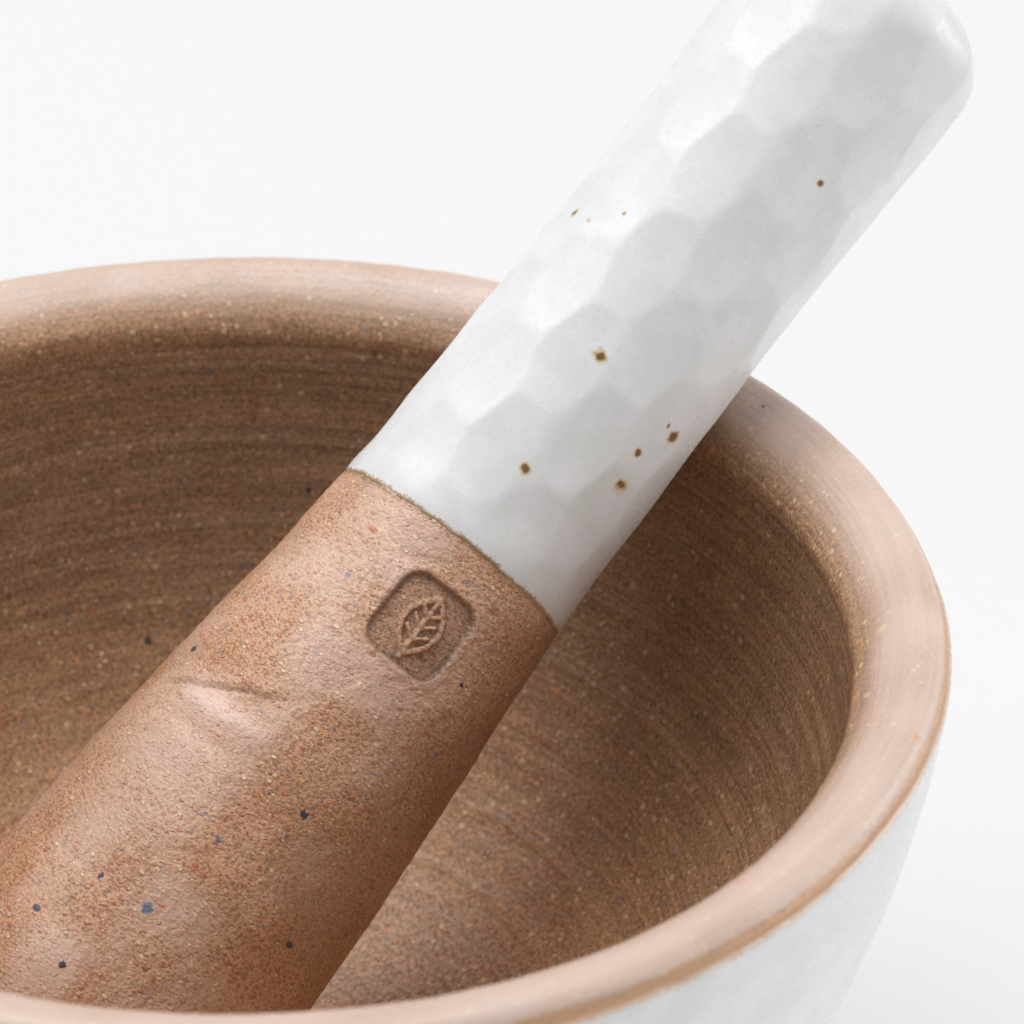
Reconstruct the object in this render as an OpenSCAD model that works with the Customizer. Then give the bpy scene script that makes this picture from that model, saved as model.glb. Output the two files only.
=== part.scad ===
// Mortar and pestle in hand-thrown stoneware. The mortar is a deep round bowl
// with a bare clay inside and rim and a glazed outside. The pestle is a solid
// clay club with a flared head and a glazed grip, and it leans across the rim
// with its head on the bowl's inner wall.
// The origin is the centre of the foot, on the surface the bowl stands on.
// +Z is up, and the pestle's grip points towards +X.

/* [Bowl] */
// Height from the table to the crest of the rim
bowl_h = 82; // [78:1:92]
// Diameter of the clay at its widest, just under the rim
bowl_d = 142; // [130:1:148]
// Radius of the curve that the outer wall follows from rim to foot
wall_round = 120; // [105:1:150]
// Inward lean of the outer wall where it meets the rim, in degrees
wall_lean = 3.8; // [1:0.2:6]

/* [Rim] */
// Radius of the tight round on the outer edge of the rim
rim_out_round = 2.55; // [1.8:0.05:3.5]
// Radius of the slack round from the crest down to the inner lip
rim_in_round = 9.6; // [7:0.1:12]
// Direction the surface faces where the two rounds meet, in degrees from +X
crest_turn = 110; // [100:1:120]
// Direction the rim faces at the inner lip, in degrees from +X
lip_turn = 160.6; // [150:0.2:170]

/* [Foot] */
// Height of the turned foot, which is solid and flat underneath
foot_h = 6; // [4:0.5:9]
// How far the foot's top is tucked in under the wall
foot_tuck = 1.2; // [0.5:0.1:2]
// Chamfer on the foot's lower edge
foot_chamfer = 1; // [0.5:0.1:1.5]

/* [Glaze] */
// Thickness of both glaze coats
glaze_t = 0.45; // [0.3:0.05:0.8]
// Direction the rim faces where the bowl's glaze starts, in degrees from +X
glaze_top_turn = 10; // [0:1:40]
// Width of the bare clay band between the foot and the bowl's glaze
glaze_bare = 4; // [2:0.5:12]
// Distance from the end of the pestle's head to its glaze line
glaze_line = 77.5; // [70:0.5:100]

/* [Pestle] */
// Length of the pestle
pestle_l = 158.5; // [150:0.5:175]
// Diameter of the flared grinding head
head_d = 37.8; // [34:0.2:42]
// Diameter at the waist, the thinnest place
waist_d = 27.2; // [22:0.2:30]
// Distance from the end of the head to the waist
waist_at = 118; // [110:1:125]
// Diameter of the grip near its top
grip_d = 28.8; // [24:0.2:32]
// How slowly the flare starts below the waist
flare_power = 1.75; // [1.4:0.05:2.4]
// Length of the rounded top end
end_round = 9; // [6:0.5:14]
// Squareness of the rounded top end: 2 is an ellipse
end_square = 2.5; // [2:0.1:4]

/* [Stamp] */
// Width of the square stamp pressed into the clay
stamp_w = 9.6; // [7:0.2:12]
// Corner radius of the stamp
stamp_corner = 2.4; // [1:0.1:3]
// Depth of the stamp
stamp_depth = 0.5; // [0.3:0.05:0.8]
// Distance from the end of the head to the stamp's centre
stamp_at = 68; // [60:0.5:71]
// Place of the stamp around the pestle, in degrees from the underside
stamp_turn = 228; // [0:1:359]
// Twist of the stamp against the pestle's length, in degrees
stamp_twist = 2; // [-45:1:45]

/* [Resting place] */
// Angle of the pestle above level
lean = 36.9; // [35:0.1:40]
// Sideways distance of the pestle from the middle of the bowl
side_shift = 2.5; // [0:0.5:4]
// Clearance left where the pestle would touch the bowl
rest_gap = 0.25; // [0.15:0.05:0.5]

/* [Hidden] */
$fn = 96;

clay = [0.62, 0.42, 0.33];
clay_dark = [0.50, 0.34, 0.26];
glaze_white = [0.90, 0.91, 0.91];

bowl_r = bowl_d / 2;
head_r = head_d / 2;
waist_r = waist_d / 2;
grip_r = grip_d / 2;

function heading(a) = [cos(a), sin(a)];
function arc(centre, r, from, to, steps) =
    [for (i = [0:steps]) centre + r * heading(from + (to - from) * i / steps)];
function reversed(points) = [for (i = [len(points) - 1:-1:0]) points[i]];

// Centres of the section's rounds, each tangent to the next
rim_out_c = [bowl_r - rim_out_round, bowl_h - rim_out_round];
rim_in_c = rim_out_c - (rim_in_round - rim_out_round) * heading(crest_turn);
wall_c = rim_out_c - (wall_round - rim_out_round) * heading(-wall_lean);

// The hollow is half a sphere that starts at the inner lip
lip = rim_in_c + rim_in_round * heading(lip_turn);
hollow_r = lip[0];
hollow_c = [0, lip[1]];

// Direction the wall faces at a height, and where the foot and the glaze start
function wall_facing(z) = asin((z - wall_c[1]) / wall_round);
foot_facing = wall_facing(foot_h);
glaze_facing = wall_facing(foot_h + glaze_bare);
foot_r = wall_c[0] + wall_round * cos(foot_facing) - foot_tuck;

// Bowl's glazed stretch, from the bare band above the foot up to the rim, at a height off the clay
function glazed_wall(off) = concat(
    arc(wall_c, wall_round + off, glaze_facing, -wall_lean, 20),
    arc(rim_out_c, rim_out_round + off, -wall_lean, glaze_top_turn, 3));

module mortar_bowl() {
    color(clay_dark)
        rotate_extrude()
            polygon(concat(
                [[0, 0], [foot_r - foot_chamfer, 0], [foot_r, foot_chamfer], [foot_r, foot_h]],
                arc(wall_c, wall_round, foot_facing, glaze_facing, 2),
                glazed_wall(0),
                arc(rim_out_c, rim_out_round, glaze_top_turn, crest_turn, 10),
                arc(rim_in_c, rim_in_round, crest_turn, lip_turn, 8),
                arc(hollow_c, hollow_r, 0, -90, 30)));
}

module mortar_glaze() {
    color(glaze_white)
        rotate_extrude()
            polygon(concat(glazed_wall(glaze_t), reversed(glazed_wall(0))));
}

// Radius of the pestle at a distance from the end of its head: a flare below
// the waist, and a soft swell from the waist up to the grip
function pestle_r(v) = v < waist_at
    ? waist_r + (head_r - waist_r) * pow((waist_at - v) / (waist_at - head_r), flare_power)
    : waist_r + (grip_r - waist_r) * (1 - cos(180 * (v - waist_at) / (pestle_l - waist_at))) / 2;

// Side of the pestle between two distances, set in by the glaze where there is some
function side(from, to, inset, steps) =
    [for (i = [0:steps]) let (v = from + (to - from) * i / steps) [pestle_r(v) - inset, v]];
// Round end of the head, and the squarer rounded end of the grip
function head_end() = [for (a = [0:6:84]) head_r * [sin(a), 1 - cos(a)]];
function grip_end(inset) = [for (a = [0:6:90])
    [(pestle_r(pestle_l - end_round) - inset) * pow(cos(a), 2 / end_square),
     pestle_l - end_round + (end_round - inset) * pow(sin(a), 2 / end_square)]];
function glazed_grip(inset) = concat(
    side(glaze_line, pestle_l - end_round, inset, 16),
    grip_end(inset));

// Contact with the rim and the hollow sets where the pestle lies. The axis
// passes the rim's inner round at axis_off, and the head's round end lies
// inside the hollow at head_off from the hollow's centre.
axis_dir = heading(lean);
axis_up = heading(lean + 90);
axis_off = rim_in_round + waist_r + rest_gap;
rim_point = rim_in_c + axis_off * axis_up;
head_off = hollow_r - head_r - rest_gap;
back = (hollow_c - rim_point) * axis_dir;
drop = (hollow_c - rim_point) * axis_up;
head_c = rim_point + (back - sqrt(pow(head_off, 2) - pow(drop, 2))) * axis_dir;
head_tip = head_c - head_r * axis_dir;

module place_pestle() {
    translate([head_tip[0], side_shift, head_tip[1]])
        rotate([0, 90 - lean, 0])
            children();
}

module rounded_square(w, corner) {
    square([w, w - 2 * corner], center = true);
    square([w - 2 * corner, w], center = true);
    for (x = [-1, 1], y = [-1, 1])
        translate([x, y] * (w / 2 - corner))
            circle(r = corner);
}

// Leaf outline: the overlap of two circles
module leaf(length, width) {
    r = (pow(length, 2) / width + width) / 4;
    intersection() {
        translate([r - width / 2, 0]) circle(r = r);
        translate([width / 2 - r, 0]) circle(r = r);
    }
}

// Stamp: a rounded square sunk to an even depth, with a plain leaf left standing
module stamp() {
    difference() {
        rotate([0, 0, stamp_turn])
            translate([0, 0, stamp_at])
                rotate([0, 90, 0])
                    rotate([0, 0, stamp_twist])
                        linear_extrude(height = head_r)
                            difference() {
                                rounded_square(stamp_w, stamp_corner);
                                leaf(stamp_w * 0.7, stamp_w * 0.35);
                            }
        cylinder(r = pestle_r(stamp_at) - stamp_depth, h = pestle_l);
    }
}

module pestle_body() {
    color(clay)
        place_pestle()
            difference() {
                rotate_extrude()
                    polygon(concat(
                        head_end(),
                        side(head_r, glaze_line, 0, 16),
                        glazed_grip(glaze_t)));
                stamp();
            }
}

module pestle_glaze() {
    color(glaze_white)
        place_pestle()
            rotate_extrude()
                polygon(concat(glazed_grip(0), reversed(glazed_grip(glaze_t))));
}

mortar_bowl();
mortar_glaze();
pestle_body();
pestle_glaze();
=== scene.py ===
"""Mortar and pestle in hand-made stoneware: the looks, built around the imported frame.

Each piece is a section in millimetres that is turned about its own axis. Its points then move
along the surface's normals, to carry the throwing rings, dents, crease, stamp and glaze edges
that a potter's hands leave. Materials are procedural, and work in millimetres too.
"""
from math import cos, degrees, radians, sin

import bpy
import numpy as np
from mathutils import Matrix, Vector


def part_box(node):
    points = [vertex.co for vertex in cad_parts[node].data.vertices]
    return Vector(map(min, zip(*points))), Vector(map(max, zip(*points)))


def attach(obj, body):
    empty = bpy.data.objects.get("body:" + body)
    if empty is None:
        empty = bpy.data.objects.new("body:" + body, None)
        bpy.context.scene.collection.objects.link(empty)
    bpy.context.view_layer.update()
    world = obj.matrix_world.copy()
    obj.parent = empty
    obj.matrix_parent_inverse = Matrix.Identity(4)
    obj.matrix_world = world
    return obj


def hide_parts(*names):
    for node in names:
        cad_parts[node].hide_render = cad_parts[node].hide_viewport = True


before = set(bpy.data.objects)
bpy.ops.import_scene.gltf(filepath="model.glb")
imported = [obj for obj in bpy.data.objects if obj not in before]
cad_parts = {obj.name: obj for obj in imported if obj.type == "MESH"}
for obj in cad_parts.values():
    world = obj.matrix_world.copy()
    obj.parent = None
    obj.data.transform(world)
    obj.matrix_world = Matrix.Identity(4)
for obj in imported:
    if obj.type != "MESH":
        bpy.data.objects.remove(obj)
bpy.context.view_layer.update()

MM = 0.001

# ---------------------------------------------------------------- sizes, in millimetres and degrees


def box_mm(node):
    """Lowest and highest corner of a CAD node, in millimetres."""
    return [np.array(corner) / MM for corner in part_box(node)]


_, bowl_high = box_mm("mortar_bowl")
coat_low, coat_high = box_mm("mortar_glaze")
club_low, club_high = box_mm("pestle_body")

# Bowl
bowl_r = bowl_high[0]
bowl_h = bowl_high[2]
wall_round = 120
wall_lean = 3.8
rim_out_round = 2.55
rim_in_round = 9.6
crest_turn = 110
lip_turn = 160.6
foot_h = 6
foot_tuck = 1.2
foot_chamfer = 1

# Glaze coats
glaze_t = coat_high[0] - bowl_r
glaze_top_turn = 10
glaze_foot_z = coat_low[2]
glaze_line = 77.5

# Pestle
head_r = (club_high[1] - club_low[1]) / 2
pestle_l = 158.5
waist_r = 13.6
waist_at = 118
grip_r = 14.4
flare_power = 1.75
end_round = 9
end_square = 2.5
lean = 36.9

# Stamp, on the pestle
stamp_at = 68
stamp_turn = 228
stamp_w = 9.6
stamp_corner = 2.4
stamp_depth = 0.65

# Centre of the pestle's round head, and its three directions: along the axis to the grip, from
# the axis to the underside, and sideways
head_c = np.array([club_low[0] + head_r, (club_low[1] + club_high[1]) / 2, club_low[2] + head_r])
pestle_axis = np.array([cos(radians(lean)), 0, sin(radians(lean))])
pestle_under = np.array([sin(radians(lean)), 0, -cos(radians(lean))])
pestle_side = np.array([0, 1, 0])
head_tip = head_c - head_r * pestle_axis

# ---------------------------------------------------------------- sections and fields


def heading(angle):
    """Unit vectors at angles in degrees, in the section's plane."""
    angle = np.radians(angle)
    return np.stack([np.cos(angle), np.sin(angle)], -1)


def arc(centre, radius, start, stop, gap):
    """Points about gap apart along an arc."""
    count = max(3, round(abs(radians(stop - start)) * radius / gap) + 1)
    return centre + radius * heading(np.linspace(start, stop, count))


def straight(start, stop, gap):
    """Points about gap apart along a line."""
    start, stop = np.array(start, float), np.array(stop, float)
    count = max(2, round(np.linalg.norm(stop - start) / gap) + 1)
    return start + np.linspace(0, 1, count)[:, None] * (stop - start)


def join(*runs):
    """One run of points from several that touch end to end."""
    return np.concatenate([runs[0]] + [run[1:] for run in runs[1:]])


def soften(points, passes):
    """Takes the sharpness off the corners of a section."""
    points = points.copy()
    for _ in range(passes):
        points[1:-1] = (points[:-2] + 2 * points[1:-1] + points[2:]) / 4
    return points


def run_length(points):
    """Distance of each point from the first, along the run."""
    return np.concatenate([[0], np.cumsum(np.linalg.norm(np.diff(points, axis=0), axis=1))])


def outward(points):
    """Normals of a section that runs from the underside, up the outside and into the hollow."""
    along = np.gradient(points, axis=0)
    along /= np.linalg.norm(along, axis=1)[:, None]
    return np.stack([along[:, 1], -along[:, 0]], -1)


def smooth(low, high, x):
    """0 below low, 1 above high, and a smooth step between them."""
    t = np.clip((x - low) / (high - low), 0, 1)
    return t * t * (3 - 2 * t)


def hump(x, width):
    """1 at x = 0, falling smoothly to nothing at a few widths."""
    return np.exp(-((x / width) ** 2))


def turn_from(middle, angle):
    """Angle from a middle direction, from -180 to 180 degrees."""
    return (angle - middle + 180) % 360 - 180


def bumps(points, size, seed):
    """Smooth noise from -1 to 1 at points, with bumps about size apart."""
    cells = 32
    table = np.random.default_rng(seed).uniform(-1, 1, (cells, cells, cells))
    scaled = np.asarray(points) / size + cells / 2
    corner = np.floor(scaled).astype(int)
    t = scaled - corner
    t = t * t * t * (t * (6 * t - 15) + 10)
    total = 0
    for step in np.ndindex(2, 2, 2):
        weight = np.prod(np.where(np.array(step) == 1, t, 1 - t), axis=-1)
        i, j, k = np.moveaxis((corner + step) % cells, -1, 0)
        total = total + weight * table[i, j, k]
    return total


def spaced(start, stop, wide, narrow, centre, reach):
    """Values from start to stop, narrow apart within reach of centre and wide apart elsewhere."""
    samples = 4001
    x = np.linspace(start, stop, samples)
    gap = narrow + (wide - narrow) * smooth(reach, 2 * reach, abs(x - centre))
    count = np.concatenate([[0], np.cumsum(np.diff(x) / gap[1:])])
    return np.interp(np.linspace(0, count[-1], round(count[-1]) + 1), count, x)


# ---------------------------------------------------------------- meshes


def new_piece(name, rings, poles, fields, material, node, body):
    """A closed piece from rings of points in millimetres.

    rings is rows x columns x 3, and each row is a ring. poles are the two points that close the
    first and last ring, or None where the last ring joins the first. fields are the values that
    the material reads, by name, with 3 numbers for each point.
    """
    rows, columns, _ = rings.shape
    points = rings.reshape(-1, 3)
    ring = np.arange(columns)
    after = np.roll(ring, -1)
    last_row = rows if poles is None else rows - 1
    faces = []
    for row in range(last_row):
        here, there = row * columns, (row + 1) % rows * columns
        faces.append(np.stack([here + ring, here + after, there + after, there + ring], -1))
    faces = np.concatenate(faces).tolist()
    if poles is not None:
        first, last = len(points), len(points) + 1
        top = (rows - 1) * columns
        points = np.concatenate([points, poles])
        faces += np.stack([ring * 0 + first, after, ring], -1).tolist()
        faces += np.stack([ring * 0 + last, top + ring, top + after], -1).tolist()
    mesh = bpy.data.meshes.new(name)
    mesh.from_pydata((points * MM).tolist(), [], faces)
    for field, values in fields.items():
        values = values.reshape(-1, 3)
        if poles is not None:
            values = np.concatenate([values, values[:1], values[-1:]])
        layer = mesh.attributes.new(field, "FLOAT_VECTOR", "POINT")
        layer.data.foreach_set("vector", values.astype(np.float32).ravel())
    mesh.shade_smooth()
    mesh.materials.append(material)
    piece = bpy.data.objects.new(name, mesh)
    bpy.context.scene.collection.objects.link(piece)
    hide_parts(node)
    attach(piece, body)


def turned(section, angles):
    """Rings from a section of (radius, height) points, or of directions, about the Z axis."""
    direction = heading(angles)
    radius, height = section[:, None, :1], section[:, None, 1:]
    return np.concatenate([radius * direction, height + 0 * direction[..., :1]], -1)


# ---------------------------------------------------------------- node helpers


class Shader:
    """A Principled material, with short names for the nodes that feed it."""

    def __init__(self, name):
        self.material = bpy.data.materials.new(name)
        self.material.use_nodes = True
        self.tree = self.material.node_tree
        self.surface = self.tree.nodes["Principled BSDF"]
        self.place = self.field("place")

    def node(self, kind, values=(), **settings):
        """A node whose inputs, by number or name, take numbers, colours or other nodes' sockets."""
        node = self.tree.nodes.new(kind)
        for key, value in settings.items():
            setattr(node, key, value)
        for key, value in dict(values).items():
            self.feed(node.inputs[key], value)
        return node

    def feed(self, socket, value):
        if isinstance(value, bpy.types.NodeSocket):
            self.tree.links.new(value, socket)
        elif isinstance(value, tuple) and len(value) == 3 and socket.type == "RGBA":
            socket.default_value = (*value, 1)
        else:
            socket.default_value = value

    def field(self, name):
        return self.node("ShaderNodeAttribute", attribute_name=name).outputs["Vector"]

    def part(self, vector, index):
        return self.node("ShaderNodeSeparateXYZ", {0: vector}).outputs[index]

    def calc(self, operation, a, b=0.0, c=0.0):
        return self.node("ShaderNodeMath", {0: a, 1: b, 2: c}, operation=operation).outputs[0]

    def step(self, value, low, high, start=0.0, stop=1.0):
        """start below low, stop above high, and a smooth step between."""
        node = self.node("ShaderNodeMapRange", {0: value, 1: low, 2: high, 3: start, 4: stop},
                         interpolation_type="SMOOTHSTEP")
        return node.outputs[0]

    def spread(self, noise, start, stop):
        """start to stop, smoothly, over the range that noise mostly keeps to."""
        return self.step(noise, 0.3, 0.7, start, stop)

    def vectors(self, operation, a, b):
        return self.node("ShaderNodeVectorMath", {0: a, 1: b}, operation=operation).outputs

    def stretch(self, place, factors):
        return self.vectors("MULTIPLY", place, factors)[0]

    def shifted(self, place, shift):
        """The place given, or the piece's own, moved so that a pattern differs from others."""
        place = self.place if place is None else place
        if not shift:
            return place
        return self.vectors("ADD", place, (shift, -shift, 2 * shift))[0]

    def noise(self, size, place=None, detail=2.0, rough=0.5, shift=0.0):
        """Noise from 0 to 1, with bumps about size millimetres apart."""
        values = {"Vector": self.shifted(place, shift), "Scale": 1 / size,
                  "Detail": detail, "Roughness": rough}
        return self.node("ShaderNodeTexNoise", values).outputs["Fac"]

    def cells(self, size, place=None, shift=0.0):
        """Cells about size millimetres across: distance to the middle, and a random colour each."""
        values = {"Vector": self.shifted(place, shift), "Scale": 1 / size}
        node = self.node("ShaderNodeTexVoronoi", values)
        return node.outputs["Distance"], node.outputs["Color"]

    def mix(self, low, high, amount):
        """Colour low where amount is 0, high where it is 1."""
        node = self.node("ShaderNodeMix", {0: amount, 6: low, 7: high}, data_type="RGBA")
        return node.outputs[2]

    def choose(self, value, choices):
        """The colour and the strength of the last choice that starts at or below value.

        choices are (start, colour, strength), in rising order.
        """
        node = self.node("ShaderNodeValToRGB", {0: value})
        ramp = node.color_ramp
        ramp.interpolation = "CONSTANT"
        while len(ramp.elements) < len(choices):
            ramp.elements.new(0.5)
        for element, (start, colour, strength) in zip(ramp.elements, choices):
            element.position = start
            element.color = (*colour, strength)
        return node.outputs["Color"], node.outputs["Alpha"]

    def flecks(self, colour, size, small, large, choices, place=None, shift=0.0):
        """Colour with grains of several kinds over it, one kind to a cell, and the grains' mask.

        size is the width of a cell, and small and large are the grains' radii, in millimetres.
        """
        distance, random = self.cells(size, place, shift)
        grow, least = (large - small) / size, small / size
        reach = self.calc("MULTIPLY_ADD", self.part(random, 1), grow, least)
        inside = self.step(self.calc("DIVIDE", distance, reach), 1.0, 0.7)
        kind, strength = self.choose(self.part(random, 0), choices)
        mask = self.calc("MULTIPLY", inside, strength)
        return self.mix(colour, kind, mask), mask

    def relief(self, height, depth):
        """A normal bumped by a height of 0 to 1, over a depth in millimetres."""
        values = {"Height": height, "Distance": depth * MM, "Strength": 1.0}
        return self.node("ShaderNodeBump", values).outputs["Normal"]

    def finish(self, colour, roughness, normal, shine=0.5):
        """The material, with its surface's colour, roughness, normal and strength of reflection."""
        values = {"Base Color": colour, "Roughness": roughness, "Normal": normal}
        for name, value in values.items():
            self.feed(self.surface.inputs[name], value)
        self.feed(self.surface.inputs["Specular IOR Level"], shine)
        return self.material


# ---------------------------------------------------------------- materials


# Grains in the clay
RUST = (0.52, 0.16, 0.055)
ORANGE = (0.70, 0.34, 0.15)
CREAM = (0.80, 0.60, 0.38)
BLUE_GREY = (0.20, 0.23, 0.32)
SLATE = (0.12, 0.15, 0.22)
SOOT = (0.03, 0.03, 0.05)
# Painted shade for the pits of the rough surface
PIT_SHADE = (0.20, 0.09, 0.045)
# Pale clay rubbed smooth, by a damp sponge or by hands, which also stands for a painted sheen on
# the rim's crest and the pestle's lit side
RUBBED_SHEEN = (0.76, 0.60, 0.535)
# Bare clay: its ground, its paler clouds, and where iron has flashed beside a glaze
BOWL_CLAY = (0.405, 0.237, 0.13), (0.47, 0.285, 0.16), (0.60, 0.33, 0.18)
PESTLE_CLAY = (0.465, 0.24, 0.13), (0.57, 0.325, 0.205), (0.30, 0.16, 0.06)

# Kinds of grain, as (share of the cells where it starts, colour, strength). The last has none.
SPECKS = ((0, ORANGE, 0.85), (0.24, CREAM, 0.75), (0.33, RUST, 0.5), (0.42, RUST, 0))
BOWL_GRAINS = ((0, ORANGE, 0.75), (0.20, CREAM, 0.75), (0.32, BLUE_GREY, 0.5), (0.34, RUST, 0.6),
               (0.40, RUST, 0))
BOWL_STONES = ((0, ORANGE, 0.5), (0.20, CREAM, 0.6), (0.32, SOOT, 0.85), (0.36, RUST, 0))
PESTLE_GRAINS = ((0, RUST, 0.8), (0.24, ORANGE, 0.7), (0.40, CREAM, 0.7), (0.52, BLUE_GREY, 0.55),
                 (0.58, RUST, 0))
PESTLE_STONES = ((0, SOOT, 0.9), (0.04, BLUE_GREY, 0.9), (0.09, RUST, 0.7), (0.16, RUST, 0))

# Glaze, its clouds and crystals, and the outside and the middle of an iron spot
WHITE = (0.79, 0.795, 0.815)
CLOUD = (0.745, 0.76, 0.755)
CRYSTAL = (0.62, 0.625, 0.63)
SPOT_HALO = (0.55, 0.36, 0.10)
SPOT_MIDDLE = (0.13, 0.055, 0.02)
# Stains along the edges of the glazes
BOWL_STAIN = (0.66, 0.42, 0.26)
GRIP_STAIN = (0.42, 0.25, 0.10)


def spot_distance(s, centre, wobble, amount):
    """Distance to a place, in millimetres, made uneven by a wobble of 0 to 1."""
    away = s.vectors("DISTANCE", s.place, centre)["Value"]
    return s.calc("ADD", away, s.spread(wobble, -amount, amount))


def clay(name, colours, squeeze, grains, stones, depth, wheel_lines=0, big=()):
    """Bare stoneware: a mottled ground crowded with rust, cream and blue-grey grog.

    The field "zone" holds how much iron has flashed at the glaze line, how much lighter or
    darker the clay is, partly its own tone and partly painted light and shade, and how far it is
    rubbed smooth and paler, partly as a painted sheen. squeeze stretches the grains' places, depth
    is the relief's in millimetres, and wheel_lines is how strongly fine lines run round the
    wheel's axis. big lists single large grains, each with its place, its radius and its colour.
    """
    ground, pale, iron = colours
    s = Shader(name)
    zone = s.field("zone")
    flash, tone_and_shade, rubbed_and_sheen = (s.part(zone, index) for index in range(3))
    grain_place = s.stretch(s.place, squeeze)
    cloud = s.noise(7, rough=0.6)
    colour = s.mix(ground, pale, s.step(cloud, 0.35, 0.68))
    # Painted shade in the pits and painted highlight on the standing grains of the rough surface,
    # following its bumps, which rubbing takes away
    fine = s.noise(0.45, grain_place, rough=0.7)
    left_rough = s.calc("MULTIPLY_ADD", rubbed_and_sheen, -0.75, 1.0)
    pit_shade = s.calc("MULTIPLY", s.step(fine, 0.50, 0.36, 0, 0.75), left_rough)
    colour = s.mix(colour, PIT_SHADE, pit_shade)
    peak_highlight = s.calc("MULTIPLY", s.step(fine, 0.52, 0.66, 0, 0.55), left_rough)
    colour = s.mix(colour, tuple(min(1.75 * part, 0.8) for part in ground), peak_highlight)
    # Sand, grains and specks, under the rubbed paleness that is partly a painted sheen, and stones
    # over it
    colour, sand = s.flecks(colour, 0.42, 0.05, 0.20, grains, grain_place, 23)
    colour, grain = s.flecks(colour, 0.80, 0.12, 0.42, grains, grain_place)
    colour, specks = s.flecks(colour, 1.7, 0.16, 0.42, SPECKS, grain_place, 37)
    colour = s.mix(colour, RUBBED_SHEEN, s.calc("MULTIPLY", rubbed_and_sheen, 0.75))
    colour, _ = s.flecks(colour, 4.0, 0.3, 0.7, stones, grain_place, 51)
    for centre, radius, kind in big:
        away = spot_distance(s, centre, fine, 0.2 * radius)
        colour = s.mix(colour, kind, s.step(away, radius, 0.7 * radius))
    height = fine
    for mask, standing in ((grain, 0.9), (sand, 0.35), (specks, 0.5)):
        height = s.calc("MULTIPLY_ADD", mask, standing, height)
    if wheel_lines:
        line_place = s.stretch(s.field("turned"), (1, 0.02, 0.02))
        lines = s.noise(0.6, line_place, rough=0.7)
        height = s.calc("MULTIPLY_ADD", lines, wheel_lines, height)
        line_tone = s.calc("MULTIPLY", s.spread(lines, -0.15, 0.15), left_rough)
        tone_and_shade = s.calc("ADD", line_tone, tone_and_shade)
    ragged = s.calc("ADD", flash, s.spread(fine, -0.4, 0.4))
    colour = s.mix(colour, iron, s.step(ragged, 0.35, 0.6, 0, 0.85))
    bright = {0: colour, "Scale": s.calc("ADD", tone_and_shade, 1.0)}
    colour = s.node("ShaderNodeVectorMath", bright, operation="SCALE").outputs[0]
    height = s.calc("MULTIPLY", height, s.calc("MULTIPLY_ADD", rubbed_and_sheen, -0.5, 1.0))
    return s.finish(colour, s.spread(fine, 0.56, 0.38), s.relief(height, depth), shine=0.75)


def glaze(name, stain, spots=()):
    """Satin white glaze with grey clouds, fine crystals and iron spots, stained at its edge.

    The field "zone" holds the distance to the glaze's edge, in millimetres.
    """
    s = Shader(name)
    cloud = s.noise(5, rough=0.6)
    crystals = s.noise(0.5, rough=0.75, shift=5)
    colour = s.mix(WHITE, CLOUD, s.step(cloud, 0.42, 0.58))
    colour = s.mix(colour, CRYSTAL, s.step(crystals, 0.50, 0.70, 0, 0.38))
    if spots:
        wobble = s.noise(1.1, detail=1, shift=9)
    for along, turn, size in spots:
        # The spots lie just inside the surface, which leaves them whole where it is dished
        centre = (*((pestle_r(along) - 0.25) * heading(turn)), along)
        away = spot_distance(s, centre, wobble, 0.2 * size)
        colour = s.mix(colour, SPOT_HALO, s.step(away, size, 0.35 * size, 0, 0.85))
        colour = s.mix(colour, SPOT_MIDDLE, s.step(away, 0.55 * size, 0.25 * size, 0, 0.85))
    edge = s.part(s.field("zone"), 0)
    ragged = s.calc("ADD", edge, s.spread(crystals, -0.2, 0.2))
    colour = s.mix(colour, stain, s.step(ragged, 0.65, 0.15, 0, 0.85))
    return s.finish(colour, s.spread(crystals, 0.24, 0.40), s.relief(crystals, 0.012))


# ---------------------------------------------------------------- bowl

# Centres of the section's arcs, from the outer rim inwards, and the inner lip
rim_out_c = np.array([bowl_r - rim_out_round, bowl_h - rim_out_round])
rim_in_c = rim_out_c - (rim_in_round - rim_out_round) * heading(crest_turn)
wall_c = rim_out_c - (wall_round - rim_out_round) * heading(-wall_lean)
lip = rim_in_c + rim_in_round * heading(lip_turn)
hollow_c = np.array([0, lip[1]])
hollow_r = lip[0]


def wall_facing(z):
    """Direction that the outer wall faces at a height, in degrees."""
    return degrees(np.arcsin((z - wall_c[1]) / wall_round))


def hand_thrown(rings):
    """Takes a turned bowl slightly out of round and its rim slightly out of level."""
    rings = rings.copy()
    turn = np.arctan2(rings[..., 1], rings[..., 0])
    high = smooth(0.3 * bowl_h, bowl_h, rings[..., 2])
    grow = 1 + high * 0.0012 * np.cos(2 * turn + 0.8)
    rings[..., :2] *= grow[..., None]
    rings[..., 2] += high * (0.16 * np.sin(2 * turn + 2.0) + 0.10 * np.sin(5 * turn))
    return rings


def around(length, angles, scale):
    """Places for noise that runs in bands round the wheel's axis."""
    length = np.broadcast_to(np.asarray(length)[:, None], (len(length), len(angles)))
    direction = heading(angles) * scale
    both = np.broadcast_to(direction, (len(length), *direction.shape))
    return np.concatenate([length[..., None], both], -1)


def wall_form(height, angles):
    """Outward ripple that the potter's fingers left on the outer wall, in millimetres."""
    broad = bumps(around(height, angles, 4), 7, 3)
    fine = bumps(around(height, angles, 6), 2.5, 4)
    return 0.16 * broad + 0.05 * fine


# Clear marks in the hollow: distance below the lip, height, and width, in millimetres
throwing_marks = ((1.9, -0.10, 0.35), (4.5, 0.10, 0.3), (14, 0.12, 0.4), (24, 0.14, 0.4),
                  (33, 0.12, 0.45), (41, 0.14, 0.45), (52, 0.12, 0.5), (60, 0.10, 0.5))
bowl_columns = 368


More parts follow.
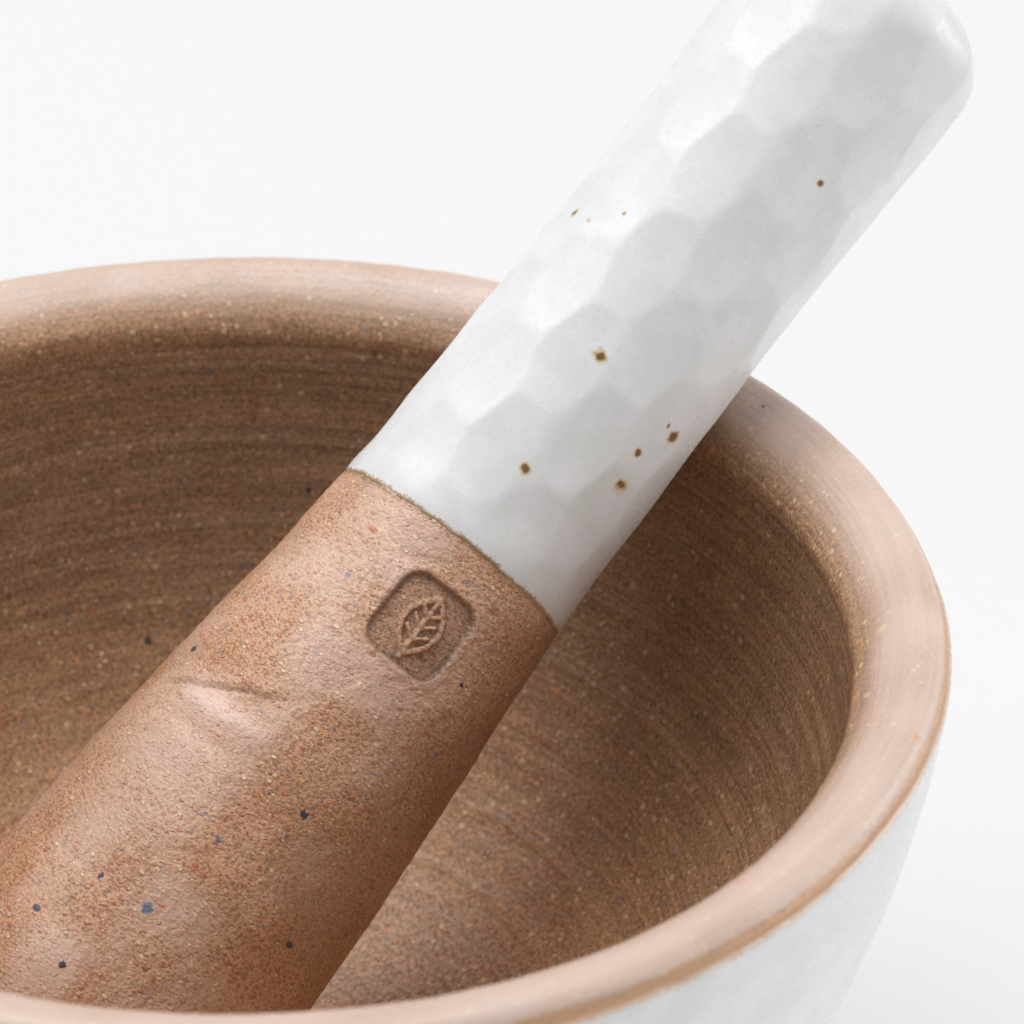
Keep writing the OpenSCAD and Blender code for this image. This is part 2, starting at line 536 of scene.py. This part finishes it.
def make_bowl():
    foot_r = wall_c[0] + wall_round * cos(radians(wall_facing(foot_h))) - foot_tuck
    # The flat underside starts a little way out, and its pole closes it
    base = join(
        straight([3, 0], [foot_r - foot_chamfer, 0], 3.5),
        straight([foot_r - foot_chamfer, 0], [foot_r, foot_chamfer], 0.5),
        straight([foot_r, foot_chamfer], [foot_r, foot_h], 1),
        straight([foot_r, foot_h], [foot_r + foot_tuck, foot_h], 0.6))
    wall = arc(wall_c, wall_round, wall_facing(foot_h), -wall_lean, 3)
    rim_out = arc(rim_out_c, rim_out_round, -wall_lean, crest_turn, 0.35)
    rim_in = arc(rim_in_c, rim_in_round, crest_turn, lip_turn, 0.45)
    # The hollow runs from the lip almost to the middle, on the far side of the arc's centre
    hollow = arc(hollow_c, hollow_r, 0, -88, 0.5)
    section = soften(join(base, wall, rim_out, rim_in, hollow), 1)
    length = run_length(section)
    base_at = length[len(base) - 1]
    wall_at = length[len(join(base, wall)) - 1]
    lip_at = length[len(join(base, wall, rim_out, rim_in)) - 1]
    past_wall = (length - wall_at)[:, None]
    into = length - lip_at
    inside = smooth(0, 1.5, into)[:, None]
    outside = smooth(0, 3, length - base_at) * (1 - smooth(-1, 1, length - wall_at))

    angles = np.arange(0, 360, 360 / bowl_columns)
    rings = turned(section, angles)
    rise = outside[:, None] * wall_form(section[:, 1], angles)
    # Throwing rings in the hollow: broad finger marks, finer lines, and a few clear marks
    bands = around(into, angles, 5)
    marks = 0.12 * bumps(bands, 9, 11)
    marks += 0.06 * bumps(bands, 3, 12)
    marks += 0.03 * bumps(bands, 1.3, 13)
    wander = 0.8 * bumps(around(0 * into, angles, 2.5), 2, 14)
    for at, height, width in throwing_marks:
        marks += height * hump(into[:, None] - at - wander, width)
    rise = rise + inside * marks
    # The rim is smooth, with a soft groove beside the glaze and small knocks on the lip
    rise = rise + 0.05 * (1 - inside) * smooth(0, 2, past_wall) * bumps(rings, 4, 15)
    rise = rise - 0.10 * hump(past_wall - 2.3, 0.35)
    near_lip = hump(into, 1.6)[:, None]
    rise = rise + near_lip * (0.12 * bumps(rings, 2.6, 16) + 0.06 * bumps(rings, 1.1, 17))
    rise = rise + 0.05 * bumps(rings, 1.6, 18) * smooth(0, 4, past_wall)
    rings = hand_thrown(rings + rise[..., None] * turned(outward(section), angles))
    # On one side the potter's thumb left the lip higher
    lift = hump(into, np.where(into > 0, 2.2, 6.0))[:, None]
    rings[..., 2] += 0.9 * lift * smooth(20, 80, angles) * smooth(270, 200, angles)
    # Cut marks across the flat foot, left by the wire
    under = section[:, 1] < 0.01
    rings[under, :, 2] += 0.12 * (1 + bumps(rings[under] * np.array([0.12, 1, 1]), 1.5, 19))
    rings[..., 2] = np.maximum(rings[..., 2], 0)
    poles = [[0, 0, rings[end, :, 2].mean()] for end in (0, -1)]

    # The rim is sponged from the groove to the lip, and painted paler there as a painted sheen on
    # its crest
    sponged_and_sheen = smooth(1.6, 2.6, past_wall) * smooth(14, 7.5, past_wall)
    sponged_and_sheen = sponged_and_sheen * (0.85 + 0.2 * bumps(rings, 6, 20))
    # Iron flashes the clay beside both edges of the glaze
    flash = smooth(2.5, 1.7, past_wall + 0.3 * bumps(rings, 2, 27)) * smooth(-30, -5, past_wall)
    z = rings[..., 2]
    flash = flash + 0.7 * smooth(12, 8, z) * smooth(4, 8, z) * smooth(5, 0, past_wall)
    # Painted light and shade: the hollow is painted darkest below its lip, lighter deeper down and
    # on one side; one place on the rim is painted lighter, and the rim beside the pestle darker as
    # its painted shadow
    tone_and_shade = 0.72 * smooth(22, 70, into[:, None]) - 0.25 + 0.16 * np.cos(np.radians(angles - 160))
    tone_and_shade = inside * tone_and_shade + 0.25 * hump(past_wall - 12, 3) * hump(angles - 110, 60)
    pestle_shadow = hump(turn_from(5, angles), 28)
    tone_and_shade = tone_and_shade - 0.13 * pestle_shadow * smooth(2, 5, past_wall) * (1 - inside)
    fields = {"place": rings, "turned": around(length, angles, 60),
              "zone": np.stack([flash, tone_and_shade, sponged_and_sheen], -1)}
    material = clay("bowl_clay", BOWL_CLAY, (1, 1, 1), BOWL_GRAINS, BOWL_STONES, 0.08,
                    wheel_lines=0.5)
    new_piece("bowl_clay_body", rings, poles, fields, material,
              "mortar_bowl", "mortar")


def bead(distance, width):
    """Thickness of a glaze near its edge, from 0 to 1, rounded like a bead."""
    t = np.clip(distance / width, 0, 1)
    return np.sqrt(1 - (1 - t) ** 2)


def edge_wave(angles, scale, size, seed):
    """Unevenness of a glaze's edge round the bowl, from -1 to 1."""
    return bumps(around([0], angles, scale), size, seed)[0]


coat_columns = 400
# How far a coat's inner face lies inside the clay
coat_sunk = 0.06


def make_bowl_coat():
    wall = arc(wall_c, wall_round, wall_facing(glaze_foot_z), -wall_lean, 0.8)
    rim = arc(rim_out_c, rim_out_round, -wall_lean, glaze_top_turn, 0.3)
    section = join(wall, rim)
    normals = outward(section)
    length = run_length(section)
    total = length[-1]
    angles = np.arange(0, 360, 360 / coat_columns)
    # Uneven edges: the run of points is squeezed or stretched near each end
    low_edge = 0.9 * edge_wave(angles, 9, 3, 21) + 0.4 * edge_wave(angles, 25, 3, 22)
    top_edge = 0.20 * edge_wave(angles, 12, 1.6, 23) + 0.12 * edge_wave(angles, 12, 0.4, 24)
    near_low = (1 - smooth(0, 14, length))[:, None]
    near_top = smooth(total - 5, total, length)[:, None]
    at = length[:, None] + near_low * (low_edge + 1.0) + near_top * (top_edge - 0.25)
    radius, height = (np.interp(at, length, section[:, part]) for part in (0, 1))
    out_r, out_z = (np.interp(at, length, normals[:, part]) for part in (0, 1))
    ripple = smooth(0, 3, length)[:, None] * wall_form(section[:, 1], angles)
    ripple *= (1 - smooth(total - 4, total - 2, length))[:, None]
    thick = glaze_t * bead(length, 2.2)[:, None] * bead(total - length, 1.0)[:, None]
    thick = thick * (1 + 0.12 * bumps(around(length, angles, 30), 6, 24))
    layers = []
    for lift in (ripple + thick, ripple - coat_sunk):
        flat = (radius + lift * out_r)[..., None] * heading(angles)
        layers.append(np.concatenate([flat, (height + lift * out_z)[..., None]], -1))
    rings = hand_thrown(np.concatenate([layers[0], layers[1][::-1]]))
    edge = np.minimum(total - length, length)
    zone = np.broadcast_to(np.concatenate([edge, edge[::-1]])[:, None, None], rings.shape)
    new_piece("bowl_glaze_coat", rings, None, {"place": rings, "zone": zone},
              glaze("bowl_glaze", BOWL_STAIN), "mortar_glaze", "mortar")


# ---------------------------------------------------------------- pestle


def pestle_r(along):
    """Radius of the pestle at a distance from the end of its head."""
    flare = np.clip((waist_at - along) / (waist_at - head_r), 0, None) ** flare_power
    swell = (1 - np.cos(np.pi * np.clip((along - waist_at) / (pestle_l - waist_at), 0, 1))) / 2
    return waist_r + (head_r - waist_r) * flare + (grip_r - waist_r) * swell


def pestle_section(first, gaps):
    """(radius, distance along) from the head's end, or from a place on the side, to the top."""
    shoulder = pestle_l - end_round
    side = gaps[(gaps >= max(first, head_r)) & (gaps <= shoulder)]
    side = np.stack([pestle_r(side), side], -1)
    turn = np.radians(np.linspace(0, 88, 34))
    end = np.stack([pestle_r(shoulder) * np.cos(turn) ** (2 / end_square),
                    shoulder + end_round * np.sin(turn) ** (2 / end_square)], -1)
    if first > head_r:
        return join(side, end)
    turn = np.radians(np.arange(4, 90, 2.5))
    head = np.stack([head_r * np.sin(turn), head_r * (1 - np.cos(turn))], -1)
    return join(head, side, end)


def place_pestle(local):
    """Moves points from the pestle's own frame, with Z along its axis, to where it rests."""
    return (head_tip + local[..., :1] * pestle_under + local[..., 1:2] * pestle_side
            + local[..., 2:] * pestle_axis)


def stroke(x, y, points, width):
    """1 on a line through points, fading to 0 at width."""
    nearest = np.full(np.shape(x), np.inf)
    for (ax, ay), (bx, by) in zip(points[:-1], points[1:]):
        dx, dy = bx - ax, by - ay
        t = np.clip(((x - ax) * dx + (y - ay) * dy) / (dx * dx + dy * dy), 0, 1)
        nearest = np.minimum(nearest, np.hypot(x - ax - t * dx, y - ay - t * dy))
    return 1 - smooth(width / 2, width, nearest)


def stamp_form(x, y):
    """The stamp at x, y millimetres from its middle: its relief, 1 inside it, and its shade."""
    half = stamp_w / 2
    corner = np.hypot(np.clip(abs(x) - half + stamp_corner, 0, None),
                      np.clip(abs(y) - half + stamp_corner, 0, None)) - stamp_corner
    edge = np.where((abs(x) < half - stamp_corner) | (abs(y) < half - stamp_corner),
                    np.maximum(abs(x), abs(y)) - half, corner)
    sunk = 1 - smooth(-0.28, 0.12, edge)
    # A plain leaf: two bowed sides, a midrib, and side veins
    reach, belly = 3.4, 2.2
    t = np.linspace(-1, 1, 25)
    bow = belly * (1 - t ** 2)
    motif = stroke(x, y, list(zip(bow, reach * t)), 0.42)
    motif = np.maximum(motif, stroke(x, y, list(zip(-bow, reach * t)), 0.42))
    motif = np.maximum(motif, stroke(x, y, [(0, -reach - 0.5), (0, reach)], 0.38))
    for root in (-1.7, -0.3, 1.1):
        for side in (-1, 1):
            tip = (side * belly * 0.62, root + 1.0)
            motif = np.maximum(motif, stroke(x, y, [(0, root), tip], 0.32))
    ring = 0.06 * hump(edge - 0.45, 0.4)
    shade = 0.15 * sunk + 0.35 * sunk * hump(motif - 0.3, 0.3) + 0.4 * hump(edge + 0.1, 0.3)
    return sunk * stamp_depth * (0.72 * motif - 1) + ring, sunk, shade


def shaft_form(along, local):
    """Form of the whole shaft, in millimetres: it steps in above the crease, and is lumpy."""
    step_in = 0.30 * np.tanh((63 - along) / 4) * smooth(22, 42, along)
    lumps = 0.22 * bumps(local, 17, 31) + 0.16 * bumps(local, 8, 32)
    return smooth(100, 80, along) * (step_in + lumps)


def crease(along, turn, local):
    """How far above the crease a place is, and 1 where the crease runs: a lip folded down."""
    past = turn - 161
    line = 48.4 + 0.06 * past + 0.0013 * past ** 2 + 0.35 * bumps(local, 3, 36)
    return along - line, smooth(150, 166, turn) * smooth(214, 196, turn)


def fold(along, turn):
    """The soft ridge of clay below the crease, from 0 to 1."""
    line = 48.1 + 0.01 * (turn - 172)
    return smooth(162, 178, turn) * smooth(216, 198, turn) * hump(along - line, 1.15)


def club_form(along, turn, local):
    """Form of the bare clay over the shaft's, in millimetres: small lumps, crease and fold."""
    over, span = crease(along, turn, local)
    lip = 0.30 * smooth(-0.12, 0.22, over) * np.exp(-np.clip(over, 0, None) / 4.5)
    form = 0.06 * bumps(local, 3.2, 33) + span * (lip - 0.30 * hump(over, 0.20))
    below_fold = smooth(158, 172, turn) * smooth(207, 192, turn) * hump(along - 45.1, 0.9)
    return form + 0.34 * fold(along, turn) - 0.26 * below_fold


def club_grain(local):
    """The grog's fine standing grains, in millimetres."""
    squeezed = local * np.array([1, 1, 1.5])
    return 0.06 * bumps(squeezed, 0.9, 41) + 0.05 * bumps(squeezed, 0.5, 42)


def glaze_edge(turn):
    """Distance of the glaze line from the end of the head, round the pestle."""
    ring = 14 * heading(turn)
    ring = np.concatenate([ring, 0 * ring[..., :1]], -1)
    wave = 0.30 * bumps(ring, 6, 43) + 0.14 * bumps(ring, 1.3, 44) + 0.06 * bumps(ring, 0.5, 47)
    return glaze_line + wave


def dimples(along, turn):
    """Inward dishes pressed all over the grip, from 0 at their ridges to 1 in their middles."""
    columns, pitch = 13, 12.4
    width = 360 / columns
    nearest = np.full(np.shape(along), np.inf)
    rng = np.random.default_rng(45)
    rows = int((pestle_l + 30 - glaze_line) / pitch)
    for column in range(columns):
        for row in range(rows):
            jitter = rng.uniform(-1, 1, 2)
            middle_turn = (column + 0.5 + 0.10 * jitter[0]) * width
            middle = glaze_line - 8 + (row + 0.5 * (column % 2) + 0.10 * jitter[1]) * pitch
            across = turn_from(middle_turn, turn) / width
            nearest = np.minimum(nearest, across ** 2 + ((along - middle) / pitch) ** 2)
    return 1 - np.clip(nearest / 0.31, 0, 1)


# Large single grains in the pestle's clay: distance along, degrees round, radius, and colour
big_grains = ((45.2, 235.1, 0.62, SOOT), (37.9, 217, 0.5, SLATE), (28.1, 212.9, 0.7, SLATE),
              (18.6, 203.2, 0.45, SOOT), (49, 211.5, 0.34, SOOT), (27.9, 194, 0.36, SOOT),
              (38.6, 284.6, 0.35, SOOT), (59.2, 222, 0.34, CREAM), (66, 256.8, 0.32, SOOT))
# Direction of the side of the pestle that the light falls on, which is painted lighter and paler
lit_side_turn = 198


def make_club():
    # Points are close together round the stamp, and wide apart under the glaze
    gaps = spaced(0, pestle_l, 0.42, 0.14, stamp_at, 5.5)
    gaps = np.concatenate([gaps[gaps < 80], np.arange(80.5, pestle_l, 2)])
    section = pestle_section(0, gaps)
    turn = spaced(0, 360, 1.56, 0.5, stamp_turn, 22)[:-1]
    rings = turned(section, turn)
    along = section[:, None, 1] + 0 * turn
    angle = turn[None, :] + 0 * section[:, :1]
    bare = 1 - smooth(glaze_line - 2, glaze_line + 3, along)
    grain = bare * club_grain(rings)
    across = np.radians(turn_from(stamp_turn, angle)) * pestle_r(stamp_at)
    stamp, sunk, shade = stamp_form(across, along - stamp_at)
    rise = shaft_form(along, rings) + bare * club_form(along, angle, rings)
    rise = rise + (1 - 0.75 * sunk) * grain + stamp
    # The clay under the glaze is sunk, which leaves room for the coat
    rise = rise - 0.5 * smooth(0, 1.2, along - glaze_edge(angle))
    local = rings + rise[..., None] * turned(outward(section), turn)
    ends = np.array([[0, 0, 0.0], [0, 0, pestle_l - 0.5]])

    # A thin line of iron beside the glaze, painted shade in the stamp and along the crease, and
    # painted light: the lit side lighter and the far side darker
    flash = 0.75 * hump(glaze_edge(angle) - along - 0.1, 0.28)
    over, span = crease(along, angle, rings)
    lit_side = hump(turn_from(lit_side_turn, angle), 55)
    shaded_side = smooth(250, 285, angle) * smooth(355, 330, angle)
    tone_and_shade = 0.10 * bumps(rings, 12, 34) + 0.20 * lit_side - 0.15 * shaded_side
    tone_and_shade = tone_and_shade - bare * (shade + 0.35 * span * hump(over, 0.22))
    # Paleness, partly at random and partly a painted sheen on the lit side
    rubbed_and_sheen = (0.10 + 0.42 * lit_side) * smooth(-0.6, 0.7, bumps(rings, 6, 35)) * (1 - sunk)
    # Painted highlight on the ridge below the crease
    rubbed_and_sheen = rubbed_and_sheen + 0.45 * fold(along, angle)
    fields = {"place": local, "zone": np.stack([flash, tone_and_shade, rubbed_and_sheen], -1)}
    big = []
    for at, round_at, size, kind in big_grains:
        big.append(((*(pestle_r(at) * heading(round_at)), at), size, kind))
    material = clay("pestle_clay", PESTLE_CLAY, (1, 1, 1.5), PESTLE_GRAINS, PESTLE_STONES, 0.20,
                    big=big)
    new_piece("pestle_clay_body", place_pestle(local), place_pestle(ends), fields, material,
              "pestle_body", "pestle")


# Iron spots in the grip's glaze: distance along, degrees round, and size
iron_spots = ((101.9, 217, 1.1), (87.6, 222, 0.9), (100.9, 272, 1.1), (101.4, 265, 0.5),
              (96.9, 260, 0.8), (93.1, 264, 1.2), (113.8, 155, 0.8), (113.5, 170, 0.5),
              (116, 184, 0.4), (131.5, 248, 0.6))
grip_columns = 258


def make_grip_coat():
    section = pestle_section(glaze_line, np.arange(glaze_line, pestle_l, 0.45))
    turn = np.arange(0, 360, 360 / grip_columns)
    angle = turn[None, :] + 0 * section[:, :1]
    edge = section[:, None, 1] + 0 * turn - glaze_line
    # The rings near the edge follow its waves
    moved = glaze_line + edge + (glaze_edge(angle) - glaze_line) * (1 - smooth(0, 12, edge))
    rings = turned(section, turn)
    rings[..., 2] = moved
    full = smooth(1.5, 6, edge)
    dish = 0.32 * dimples(moved, angle) * full * smooth(pestle_l, pestle_l - 6, moved)
    rise = shaft_form(moved, rings) - dish
    rise = rise + 0.05 * full * bumps(rings, 9, 46) + 0.08 * smooth(0, 1.5, edge)
    step = turned(outward(section), turn)
    outer = rings + rise[..., None] * step
    # The coat is thin at its edge, where it is rounded like a bead
    inner = outer - (0.55 * bead(edge, 1.3) + 0.01)[..., None] * step
    local = np.concatenate([inner[::-1], outer])
    ends = np.array([[0, 0, pestle_l - 0.55], [0, 0, pestle_l + 0.02]])
    zone = np.concatenate([edge[::-1], edge])
    zone = np.broadcast_to(zone[..., None], local.shape)
    new_piece("grip_glaze_coat", place_pestle(local), place_pestle(ends),
              {"place": local, "zone": zone}, glaze("grip_glaze", GRIP_STAIN, iron_spots),
              "pestle_glaze", "pestle")


make_bowl()
make_bowl_coat()
make_club()
make_grip_coat()

# ---------------------------------------------------------------- studio

# Directions in degrees: the camera looks this far from +Y towards +X, down, and tipped
view_turn = 43.274
view_down = 32.309
view_tip = 2.028
# Place of the camera, in millimetres from the middle of the foot
camera_at = np.array([-192.49, -243.77, 287.38])
lens_mm = 130.08
sensor_mm = 36
f_stop = 36
# How far past the stamp the lens is focused
focus_past = 5

# The paper's grey, how much it glows, and how much the air round it does
paper_grey = (0.35, 0.35, 0.35, 1)
paper_glow = 0.515
air_glow = 0.05
white_light = (1, 1, 1, 1)
# Lights: name, turn and height in degrees, size in metres, and power in watts
lights = (("left_light", -60, 62, 0.9, 7.3),
          ("top_light", -30, 82, 0.9, 12.3),
          ("right_light", 75, 14, 0.7, 6.5))
light_far = 1.4


def make_backdrop():
    """A round pale floor that sweeps up into a wall all the way round, in metres."""
    radius, height, bend = 2.6, 1.8, 0.9
    columns = 96
    curve = np.array([radius - bend, bend]) + bend * heading(np.linspace(-90, 0, 17))
    curve = [*curve, (radius, height)]
    points = [(0.0, 0.0, 0.0)]
    for r, z in curve:
        for x, y in heading(np.arange(columns) * 360 / columns):
            points.append((r * x, r * y, z))
    faces = [(0, 1 + i, 1 + (i + 1) % columns) for i in range(columns)]
    for row in range(len(curve) - 1):
        here, there = 1 + row * columns, 1 + (row + 1) * columns
        for i in range(columns):
            j = (i + 1) % columns
            faces.append((here + i, there + i, there + j, here + j))
    mesh = bpy.data.meshes.new("studio_floor")
    mesh.from_pydata(points, [], faces)
    mesh.shade_smooth()
    material = bpy.data.materials.new("studio_paper")
    material.use_nodes = True
    surface = material.node_tree.nodes["Principled BSDF"]
    surface.inputs["Base Color"].default_value = paper_grey
    surface.inputs["Emission Color"].default_value = white_light
    surface.inputs["Emission Strength"].default_value = paper_glow
    surface.inputs["Roughness"].default_value = 0.9
    surface.inputs["Specular IOR Level"].default_value = 0.0
    mesh.materials.append(material)
    floor = bpy.data.objects.new("studio_floor", mesh)
    bpy.context.scene.collection.objects.link(floor)


def make_light(name, turn, up, size, power):
    """A square light aimed at the bowl, turned from the far side of the view towards its right."""
    data = bpy.data.lights.new(name, "AREA")
    data.shape = "SQUARE"
    data.size = size
    data.energy = power
    light = bpy.data.objects.new(name, data)
    level, steep = radians(view_turn + turn), radians(up)
    aside = Vector((sin(level) * cos(steep), cos(level) * cos(steep), sin(steep)))
    light.location = light_far * aside
    light.rotation_euler = light.location.to_track_quat("Z", "Y").to_euler()
    bpy.context.scene.collection.objects.link(light)


def make_camera():
    turn, down, tip = radians(view_turn), radians(view_down), radians(view_tip)
    forward = Vector((sin(turn) * cos(down), cos(turn) * cos(down), -sin(down)))
    level = Vector((cos(turn), -sin(turn), 0))
    upright = level.cross(forward)
    right = cos(tip) * level + sin(tip) * upright
    up = -sin(tip) * level + cos(tip) * upright
    data = bpy.data.cameras.new("camera")
    data.lens = lens_mm
    data.sensor_width = sensor_mm
    data.clip_start = 0.02
    camera = bpy.data.objects.new("camera", data)
    camera.matrix_world = Matrix((
        (right.x, up.x, -forward.x, camera_at[0] * MM),
        (right.y, up.y, -forward.y, camera_at[1] * MM),
        (right.z, up.z, -forward.z, camera_at[2] * MM),
        (0, 0, 0, 1)))
    bpy.context.scene.collection.objects.link(camera)
    on_stamp = np.array([*(pestle_r(stamp_at) * heading(stamp_turn)), stamp_at])
    focus = bpy.data.objects.new("focus", None)
    focus.location = (Vector(place_pestle(on_stamp)) + focus_past * forward) * MM
    bpy.context.scene.collection.objects.link(focus)
    data.dof.use_dof = True
    data.dof.focus_object = focus
    data.dof.aperture_fstop = f_stop
    bpy.context.scene.camera = camera


def make_world():
    world = bpy.data.worlds.new("studio_air")
    world.use_nodes = True
    background = world.node_tree.nodes["Background"]
    background.inputs["Color"].default_value = white_light
    background.inputs["Strength"].default_value = air_glow
    bpy.context.scene.world = world


make_backdrop()
make_world()
for light_row in lights:
    make_light(*light_row)
make_camera()
bpy.context.scene.view_settings.view_transform = "Standard"
